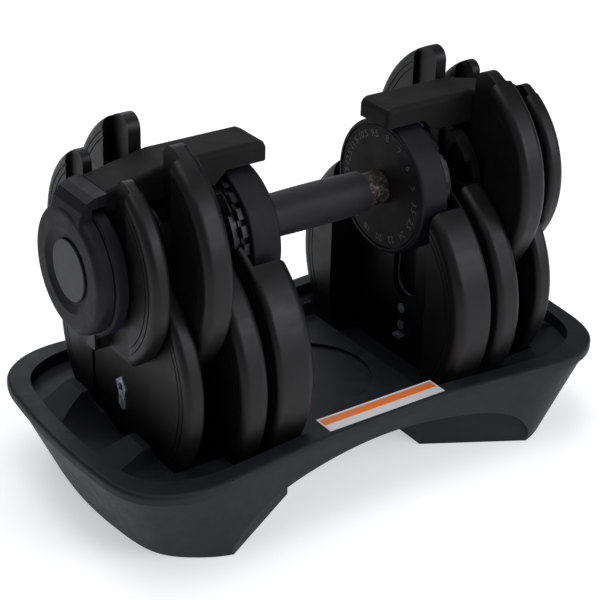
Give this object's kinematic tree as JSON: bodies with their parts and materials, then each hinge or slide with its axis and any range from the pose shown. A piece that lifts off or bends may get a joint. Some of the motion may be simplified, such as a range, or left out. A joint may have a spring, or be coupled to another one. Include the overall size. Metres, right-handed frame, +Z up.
{
  "type": "adjustable dumbbell",
  "caption": "Adjustable dumbbell on its storage tray: central grip, turning selector dial at each end, nested weight plates lifted together with the handle.",
  "frame": {"origin": "on the floor under the middle of the tray", "axes": "+X along the handle, +Y across it, +Z up"},
  "size_m": [0.472, 0.2522, 0.3028],
  "materials": {
    "tray_plastic": "textured",
    "plate_coating": "satin moulded coating",
    "knob_plastic": "satin",
    "bridge_plastic": "matt",
    "inner_plastic": "satin",
    "number_plate": "satin",
    "grip_rubber": "soft",
    "badge": "matt",
    "steel": "worn dark steel",
    "zinc_steel": "zinc plated",
    "label": "satin film"
  },
  "bodies": {
    "tray": {"tray": "tray_plastic", "tray_label": "label"},
    "handle": {"handle_shaft": "steel", "grip_sleeve": "grip_rubber", "collar_left": "steel", "bridge_left": "bridge_plastic", "end_cap_left": "knob_plastic", "blank_badge_left": "badge", "end_bolt_left": "zinc_steel", "collar_right": "steel", "bridge_right": "bridge_plastic", "end_cap_right": "knob_plastic", "blank_badge_right": "badge", "end_bolt_right": "zinc_steel"},
    "selector_left": {"selector_sleeve_left": "inner_plastic", "dial_left": "knob_plastic", "number_plate_left": "number_plate", "detent_ring_left": "inner_plastic", "selector_disc_a_left": "inner_plastic", "selector_disc_b_left": "inner_plastic", "selector_disc_c_left": "inner_plastic", "selector_disc_d_left": "inner_plastic", "selector_disc_e_left": "inner_plastic", "knob_ring_left": "knob_plastic"},
    "plate_a_left": {"weight_plate_a_left": "plate_coating", "catch_plate_left": "zinc_steel", "catch_rivets_left": "zinc_steel"},
    "plate_b_left": {"weight_plate_b_left": "plate_coating"},
    "plate_c_left": {"weight_plate_c_left": "plate_coating"},
    "plate_d_left": {"weight_plate_d_left": "plate_coating"},
    "plate_e_left": {"weight_plate_e_left": "plate_coating", "keeper_hook_left": "zinc_steel"},
    "selector_right": {"selector_sleeve_right": "inner_plastic", "dial_right": "knob_plastic", "number_plate_right": "number_plate", "detent_ring_right": "inner_plastic", "selector_disc_a_right": "inner_plastic", "selector_disc_b_right": "inner_plastic", "selector_disc_c_right": "inner_plastic", "selector_disc_d_right": "inner_plastic", "selector_disc_e_right": "inner_plastic", "knob_ring_right": "knob_plastic"},
    "plate_a_right": {"weight_plate_a_right": "plate_coating", "catch_plate_right": "zinc_steel", "catch_rivets_right": "zinc_steel"},
    "plate_b_right": {"weight_plate_b_right": "plate_coating"},
    "plate_c_right": {"weight_plate_c_right": "plate_coating"},
    "plate_d_right": {"weight_plate_d_right": "plate_coating"},
    "plate_e_right": {"weight_plate_e_right": "plate_coating", "keeper_hook_right": "zinc_steel"}
  },
  "joints": [
    {"name": "handle_lift", "type": "slide", "parent": "tray", "child": "handle", "axis": [0, 0, 1], "range_m": [0, 0.2]},
    {"name": "selector_left_turn", "type": "hinge", "parent": "handle", "child": "selector_left", "pos_m": [-0.08, 0, 0.208], "axis": [1, 0, 0], "continuous": true},
    {"name": "plate_a_left_lift", "type": "slide", "parent": "tray", "child": "plate_a_left", "axis": [0, 0, 1], "range_m": [0, 0.2]},
    {"name": "plate_b_left_lift", "type": "slide", "parent": "tray", "child": "plate_b_left", "axis": [0, 0, 1], "range_m": [0, 0.2]},
    {"name": "plate_c_left_lift", "type": "slide", "parent": "tray", "child": "plate_c_left", "axis": [0, 0, 1], "range_m": [0, 0.2]},
    {"name": "plate_d_left_lift", "type": "slide", "parent": "tray", "child": "plate_d_left", "axis": [0, 0, 1], "range_m": [0, 0.2]},
    {"name": "plate_e_left_lift", "type": "slide", "parent": "tray", "child": "plate_e_left", "axis": [0, 0, 1], "range_m": [0, 0.2]},
    {"name": "selector_right_turn", "type": "hinge", "parent": "handle", "child": "selector_right", "pos_m": [0.08, 0, 0.208], "axis": [1, 0, 0], "continuous": true},
    {"name": "plate_a_right_lift", "type": "slide", "parent": "tray", "child": "plate_a_right", "axis": [0, 0, 1], "range_m": [0, 0.2]},
    {"name": "plate_b_right_lift", "type": "slide", "parent": "tray", "child": "plate_b_right", "axis": [0, 0, 1], "range_m": [0, 0.2]},
    {"name": "plate_c_right_lift", "type": "slide", "parent": "tray", "child": "plate_c_right", "axis": [0, 0, 1], "range_m": [0, 0.2]},
    {"name": "plate_d_right_lift", "type": "slide", "parent": "tray", "child": "plate_d_right", "axis": [0, 0, 1], "range_m": [0, 0.2]},
    {"name": "plate_e_right_lift", "type": "slide", "parent": "tray", "child": "plate_e_right", "axis": [0, 0, 1], "range_m": [0, 0.2]}
  ],
  "couplings": [
    {"joint": "plate_a_left_lift", "follows": "handle_lift", "ratio": 1},
    {"joint": "plate_b_left_lift", "follows": "handle_lift", "ratio": 1},
    {"joint": "plate_c_left_lift", "follows": "handle_lift", "ratio": 1},
    {"joint": "plate_d_left_lift", "follows": "handle_lift", "ratio": 1},
    {"joint": "plate_e_left_lift", "follows": "handle_lift", "ratio": 1},
    {"joint": "plate_a_right_lift", "follows": "handle_lift", "ratio": 1},
    {"joint": "plate_b_right_lift", "follows": "handle_lift", "ratio": 1},
    {"joint": "plate_c_right_lift", "follows": "handle_lift", "ratio": 1},
    {"joint": "plate_d_right_lift", "follows": "handle_lift", "ratio": 1},
    {"joint": "plate_e_right_lift", "follows": "handle_lift", "ratio": 1}
  ]
}
